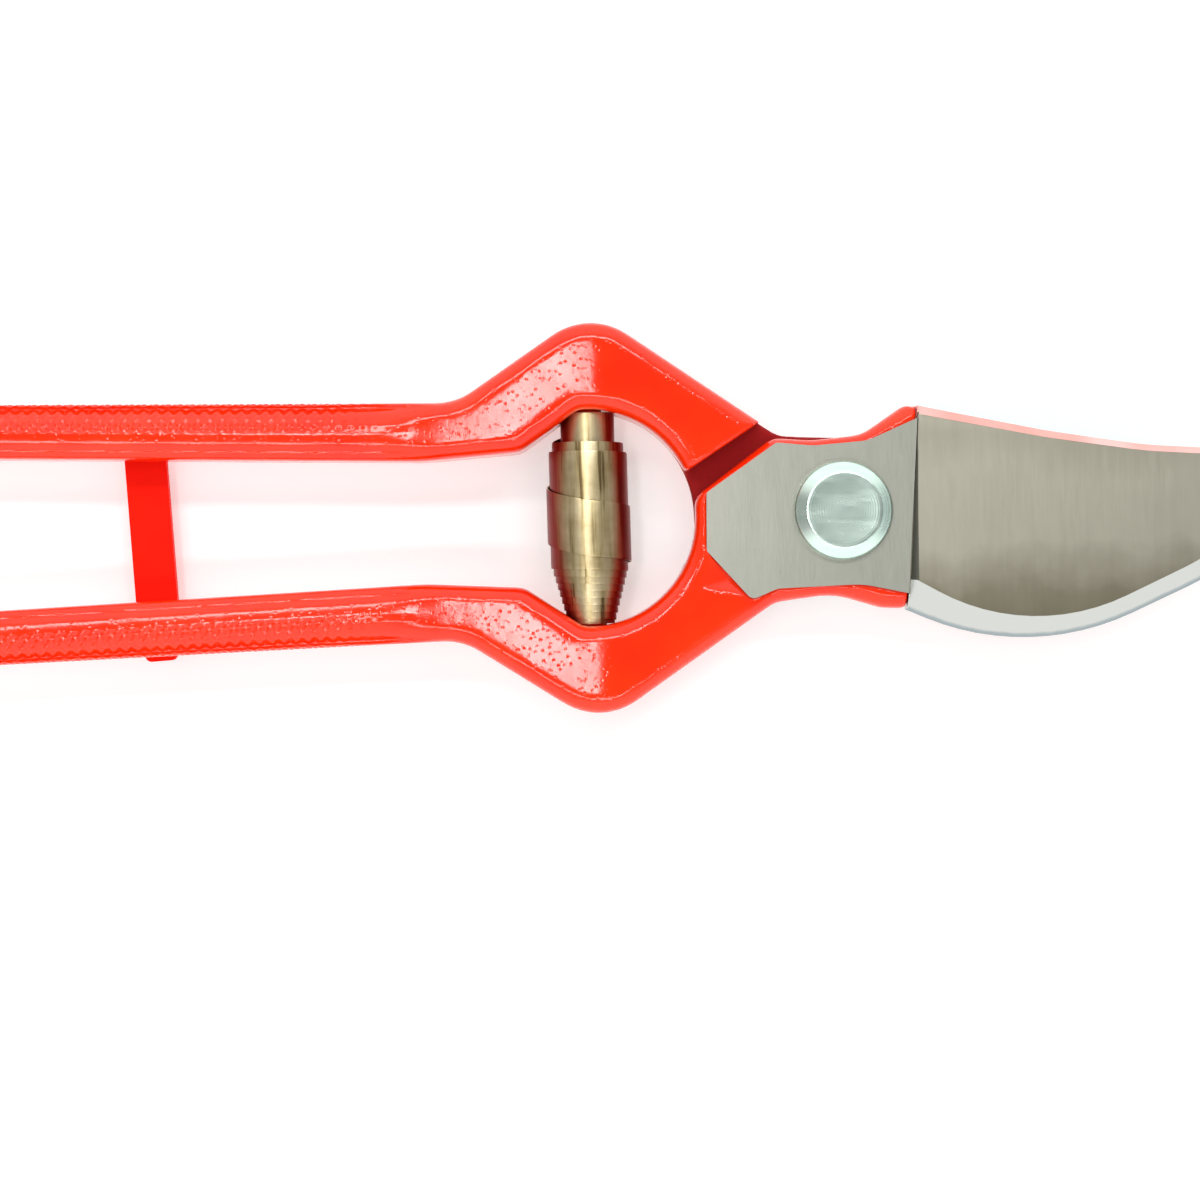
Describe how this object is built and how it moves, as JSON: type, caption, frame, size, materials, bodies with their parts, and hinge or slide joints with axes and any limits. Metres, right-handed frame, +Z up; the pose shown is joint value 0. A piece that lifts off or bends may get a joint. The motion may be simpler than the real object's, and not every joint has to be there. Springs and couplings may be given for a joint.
{
  "type": "pruning shears",
  "caption": "Bypass hand pruner with two forged handles, a curved blade passing a hidden hook, a volute spring in the ring and a strap catch holding it shut.",
  "frame": {"origin": "on the pivot axis, on the flat face of the pivot nut and bolt end that the tool lies on", "axes": "+X along the tool towards the blade tip, +Y across it towards the hook half's handle, +Z up out of the blade side"},
  "size_m": [0.2281, 0.0559, 0.0192],
  "materials": {
    "red_paint": "thick glossy orange-red enamel with orange peel",
    "catch_paint": "thin glossy red enamel",
    "ground_steel": "fine ground grain, polished along the cutting bevel",
    "zinc_plate": "bluish bright zinc",
    "spring_steel": "tan tempered strip with a satin face"
  },
  "bodies": {
    "hook_body": {"hook_half": "red_paint", "pivot_bolt": "zinc_plate", "lock_washer": "zinc_plate", "pivot_nut": "zinc_plate", "spring_peg_upper": "red_paint", "volute_spring": "spring_steel", "catch_rivet": "catch_paint"},
    "blade_body": {"blade_half": "red_paint", "spring_peg_lower": "red_paint", "keeper_stud": "catch_paint"},
    "catch_body": {"catch_strap": "catch_paint"}
  },
  "joints": [
    {"name": "pivot", "type": "hinge", "parent": "hook_body", "child": "blade_body", "pos_m": [0, 0, 0.0107], "axis": [0, 0, 1], "range_deg": [0, 33], "deforming": ["volute_spring"]},
    {"name": "catch_swing", "type": "hinge", "parent": "hook_body", "child": "catch_body", "pos_m": [-0.1014, 0.0141, 0.0044], "axis": [0, 0, 1], "range_deg": [0, 80]}
  ]
}
